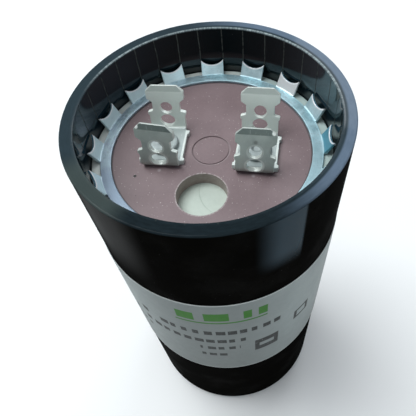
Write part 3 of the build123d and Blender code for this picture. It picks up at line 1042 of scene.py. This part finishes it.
# %% Rivets
TAIL_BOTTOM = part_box("rivet_left")[0].z / MM
TAIL_TOP = TAIL_BOTTOM + 0.7
PLATE_TOP = BOARD_TOP + STRIP
rivet_profile = rounded_profile([
    (0, TAIL_BOTTOM, 0),
    (2.5, TAIL_BOTTOM, 0.33),
    (2.5, TAIL_TOP, 0.05),
    (1.6, TAIL_TOP, 0),
    (1.6, PLATE_TOP, 0),
    (2.4, PLATE_TOP, 0.05),
    (2.4, PLATE_TOP + 0.75, 0.42),
    (0.95, PLATE_TOP + 0.75, 0.2),
    (0.6, PLATE_TOP + 0.42, 0.15),
    (0, PLATE_TOP + 0.4, 0),
])
satin = Finish("rivet_metal", Metallic=0.7)
spot, *_ = satin.place()
marks = satin.noise(spot, 2.0, 3.0)
satin.grained(marks, (0.27, 0.31, 0.31), (0.4, 0.44, 0.44), 0.4, 0.16, 0.03)
for side, centre_x in TERMINAL_PLACES.items():
    rivet = settle(lathe(f"rivet_head_{side}", rivet_profile, segments=96, centre=(centre_x, TERMINAL_LINE_Y)))
    dress(rivet, satin, f"rivet_{side}")

# %% [markdown]
# ## Terminal board
# The board is punched from paper phenolic sheet. Its solid has the right shape already, with the vent hole and the
# stamped circle, so it stays and gets a finish: a mauve brown body with fine paper fibres, pale specks, a few dark
# ones, two painted spots of light before the terminals, and a pale, rough wall in the punched hole. Painted shade
# darkens its left side, a painted shadow lies under the ring's inner edge, and the stamped circle has a painted
# shaded side and a painted highlight.

# %% Board finish
VENT_Y, VENT_RADIUS = -9.2, 4.12
BURN_X, BURN_Y = -11.56, -6.67
LIGHT_SPOTS = ((-7.8, -5.1), (7.7, -4.85))
board = Finish("board_phenolic", Specular_IOR_Level=0.5)
spot, x, y, z = board.place()
radius = board.away(x, y)
fibres = board.noise(spot, 3.2, 4.0, 0.65)
patches = board.noise(spot, 0.16, 3.0)
stamp_shaded_side = (y - x).between(-3.0, 3.0)
pale = board.specks(spot, 2.1, 0.12, 0.55).most(board.specks(spot, 0.8, 0.07, 0.5))
burn = board.away(x - BURN_X, y - BURN_Y).between(0.34, 0.2)
dark = board.specks(spot, 0.45, 0.045, 0.5).most(burn)
hair = board.noise(board.vector(x * 0.5, y * 4.0, 0), 1.0, 4.0).between(0.66, 0.78)
hair = hair * board.noise(spot, 0.25).between(0.5, 0.6)
from_vent = board.away(x, y - VENT_Y)
fuzz = from_vent.near(VENT_RADIUS + 0.04, 0.05, 0.16) * board.noise(spot, 2.6, 2.0).between(0.3, 0.6)
cut_wall = from_vent.between(VENT_RADIUS + 0.01, VENT_RADIUS - 0.01) * z.between(BOARD_TOP - 0.02, BOARD_TOP - 0.12)
cut_fibres = board.noise(board.vector(x * 2.0, y * 2.0, z * 7.0), 1.0, 3.0)
# Painted light: two pale spots on the board in front of the terminals.
scrapes = [board.away(x - place_x, y - place_y).between(0.42, 0.1) * 0.5 for place_x, place_y in LIGHT_SPOTS]
colour = board.layers(
    board.mix(fibres, (0.16, 0.11, 0.117), (0.236, 0.168, 0.178)),
    (patches.between(0.35, 0.7) * 0.5, (0.25, 0.184, 0.192)),
    # Painted shade: darker on the left side of the board.
    (x.between(-8, -15) * 0.4, (0.1, 0.069, 0.073)),
    # Painted shadow: a dark line under the inner edge of the ring.
    (radius.near(16.74, 0.08, 0.14) * 0.65, (0.02, 0.011, 0.012)),
    # Painted shade on the back-left arc of the stamped groove, and a painted highlight on the front-right arc.
    (radius.near(3.1, 0.08, 0.1) * stamp_shaded_side * 0.65, (0.08, 0.05, 0.055)),
    (radius.near(3.2, 0.05, 0.12) * (1 - stamp_shaded_side) * 0.4, (0.42, 0.36, 0.37)),
    (pale, (0.66, 0.61, 0.6)),
    (hair * 0.35, (0.45, 0.4, 0.4)),
    (dark, (0.006, 0.004, 0.004)),
    (fuzz * 0.6, (0.5, 0.46, 0.44)),
    (cut_wall, board.mix(cut_fibres, (0.25, 0.2, 0.18), (0.43, 0.36, 0.33))),
    # The painted spots of light.
    *((light_spot, (0.5, 0.46, 0.46)) for light_spot in scrapes),
)
board.feed(
    Base_Color=colour,
    Roughness=0.36 + fibres * 0.16,
    Normal=board.relief(fibres, 0.012, board.relief(patches, 0.06)),
)
wear(nodes["terminal_board"], board)

# %% [markdown]
# ## Rubber seal
# Cream rubber shows in the vent hole and between the teeth. It is matt, a little dusty, with a few dark crumbs, and
# in the vent a faint arc where the board was pressed on it.

# %% Seal finish
rubber = Finish("seal_rubber", Specular_IOR_Level=0.3)
spot, x, y, _ = rubber.place()
powder = rubber.noise(spot, 1.4, 4.0)
outer = rubber.away(x, y).between(18.2, 18.6)
# Painted light and shade: the outer edge of the seal, between the teeth, is near white on the left and darker towards
# the right.
outer_painted_light = rubber.mix((x + y * 0.3).between(2, 14), (0.92, 0.97, 0.92), (0.42, 0.52, 0.5))
from_arc = rubber.away(x - 4.5, y + 6.0)
colour = rubber.layers(
    rubber.mix(powder, (0.5, 0.57, 0.51), (0.59, 0.66, 0.595)),
    (outer, outer_painted_light),
    (from_arc.near(5.6, 0.03, 0.12) * 0.35, (0.44, 0.52, 0.45)),
    (rubber.specks(spot, 0.9, 0.07, 0.35), (0.14, 0.15, 0.13)),
)
rubber.feed(
    Base_Color=colour,
    Roughness=0.55 + powder * 0.2,
    Normal=rubber.relief(powder, 0.03, rubber.relief(from_arc.between(5.5, 5.7), 0.05)),
)
wear(nodes["rubber_seal"], rubber)

# %% [markdown]
# ## What the case hides
# The winding, its tape and pad, the lead tabs and the washers can't be seen in the photograph, but they show when
# the part is taken apart. They keep their solids, and each gets the finish of its stuff: wound paper whose turns
# show on its ends, a thin yellowed tape, pressed board, and rolled aluminium.

# %% Hidden finishes
wound = Finish("wound_paper", Specular_IOR_Level=0.2)
spot, x, y, _ = wound.place()
turns = abs((wound.away(x, y) * 5.0) % 1.0 - 0.5) * 2.0
stain = wound.noise(spot, 0.3, 4.0)
colour = wound.layers(
    wound.mix(turns, (0.47, 0.37, 0.22), (0.66, 0.57, 0.4)),
    (stain.between(0.5, 0.8) * 0.6, (0.36, 0.27, 0.15)),
)
wound.feed(Base_Color=colour, Roughness=0.6 + stain * 0.25, Normal=wound.relief(turns, 0.03))
wear(nodes["winding"], wound)

tape = Finish("closing_tape", Specular_IOR_Level=0.5)
_, x, y, z = tape.place()
ripple = tape.noise(tape.vector(x, y, z * 4.0), 0.6, 3.0)
tape.grained(ripple, (0.62, 0.5, 0.24), (0.8, 0.7, 0.42), 0.28, 0.2, 0.04)
wear(nodes["winding_tape"], tape)

pad = Finish("pad_board", Specular_IOR_Level=0.2)
spot, *_ = pad.place()
pulp = pad.noise(spot, 2.4, 4.0, 0.65)
pad.grained(pulp, (0.33, 0.25, 0.16), (0.5, 0.4, 0.28), 0.7, 0.2, 0.03)
wear(nodes["bottom_pad"], pad)

foil = Finish("rolled_aluminium", Metallic=1.0)
_, x, y, z = foil.place()
rolled = foil.noise(foil.vector(x, y * 9.0, z), 1.0, 3.0)
foil.grained(rolled, (0.7, 0.71, 0.73), (0.86, 0.87, 0.88), 0.28, 0.2, 0.02)
for node in ("washer_left", "washer_right", "lead_tab_left", "lead_tab_right"):
    wear(nodes[node], foil)

# %% [markdown]
# ## View
# The Standard view shows a colour as it is written.

# %% View settings
bpy.context.scene.view_settings.view_transform = "Standard"
